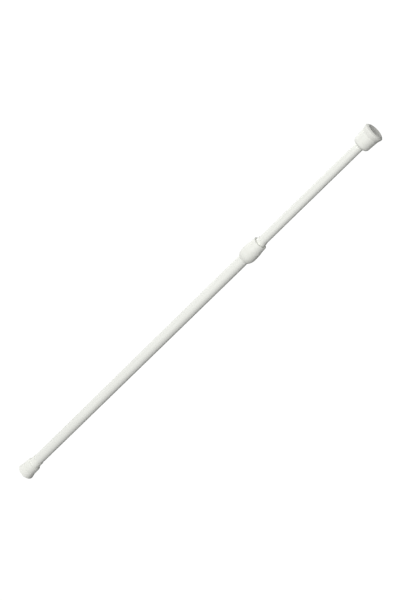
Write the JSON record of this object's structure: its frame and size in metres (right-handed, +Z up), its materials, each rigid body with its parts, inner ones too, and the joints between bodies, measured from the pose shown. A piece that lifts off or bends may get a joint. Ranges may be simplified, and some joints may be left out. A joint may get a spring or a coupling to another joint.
{
  "type": "extendable tension curtain rod",
  "caption": "White telescopic tension rod for a curtain: a thin tube slides out of a wider one, locks with a twist, and a sprung end cap presses the rubber feet against the walls.",
  "frame": {"origin": "centre of the left foot's wall face, on the rod's axis", "axes": "+X along the rod from the left wall to the right one, +Z up with the rod level"},
  "size_m": [0.7638, 0.0288, 0.0288],
  "materials": {
    "tube_enamel": "white enamel on steel tube, satin gloss",
    "cap_plastic": "white moulded plastic, satin",
    "inner_plastic": "natural moulded plastic, hidden inside",
    "lock_plastic": "dark grey moulded plastic, hidden inside",
    "foot_rubber": "pale grey white rubber, matt",
    "bare_steel": "zinc plated steel",
    "spring_steel": "drawn spring wire, oiled"
  },
  "bodies": {
    "outer": {"outer_tube": "tube_enamel", "collar": "cap_plastic", "guide_bush": "cap_plastic", "left_cap": "cap_plastic", "left_foot": "foot_rubber"},
    "lock": {"lock_ring": "lock_plastic"},
    "inner": {"inner_tube": "tube_enamel", "lock_plug": "inner_plastic", "lock_washer": "bare_steel", "lock_screw": "bare_steel", "spring_seat": "inner_plastic", "spring": "spring_steel", "stop_ferrule": "bare_steel"},
    "end_cap": {"right_cap": "cap_plastic", "right_plug": "inner_plastic", "right_foot": "foot_rubber"}
  },
  "joints": [
    {"name": "extension", "type": "slide", "parent": "outer", "child": "lock", "axis": [1, 0, 0], "range_m": [-0.1765, 0.2785]},
    {"name": "twist_lock", "type": "hinge", "parent": "lock", "child": "inner", "pos_m": [0.233, 0, 0], "axis": [1, 0, 0], "range_deg": [-50, 50]},
    {"name": "end_press", "type": "slide", "parent": "inner", "child": "end_cap", "axis": [1, 0, 0], "range_m": [-0.01, 0], "stiffness_N_per_m": 3900, "springref_m": 0.007, "deforming": ["spring"]}
  ]
}
